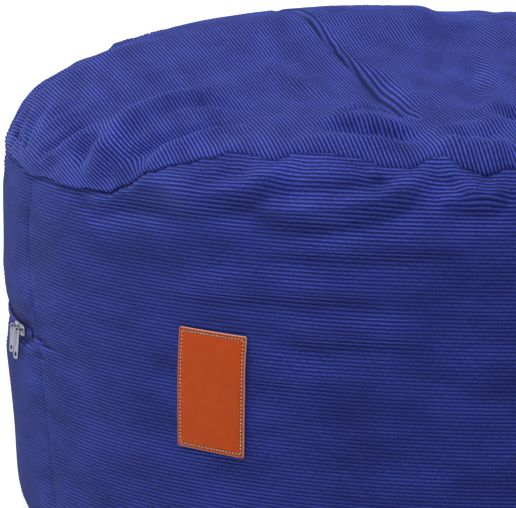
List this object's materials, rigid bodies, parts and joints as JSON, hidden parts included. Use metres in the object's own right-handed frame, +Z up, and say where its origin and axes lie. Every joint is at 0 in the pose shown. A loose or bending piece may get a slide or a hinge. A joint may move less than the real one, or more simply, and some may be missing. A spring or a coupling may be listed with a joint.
{
  "type": "bean bag footstool",
  "caption": "Round drum-shaped bean bag footstool in wide-wale corduroy, with a puckered top seam, a zip round the back and a sewn leatherette patch.",
  "frame": {"origin": "on the floor, under the middle of the drum, at the middle of the flat base", "axes": "+Z up, -Y the front, +X the right seen from the front"},
  "size_m": [0.6644, 0.66, 0.3567],
  "materials": {
    "corduroy": "royal blue cotton-blend corduroy, 11 wales to the inch, cut pile",
    "zip_tape": "dark blue woven zip tape with a nylon coil",
    "leatherette": "smooth orange-tan leatherette with light edge stitching",
    "nickel": "bright nickel-plated zinc"
  },
  "bodies": {
    "root": {"filled_cover": "corduroy", "zip_chain": "zip_tape", "patch": "leatherette", "slider_left": "nickel", "slider_right": "nickel", "pull_left": "nickel", "pull_right": "nickel"}
  },
  "joints": []
}
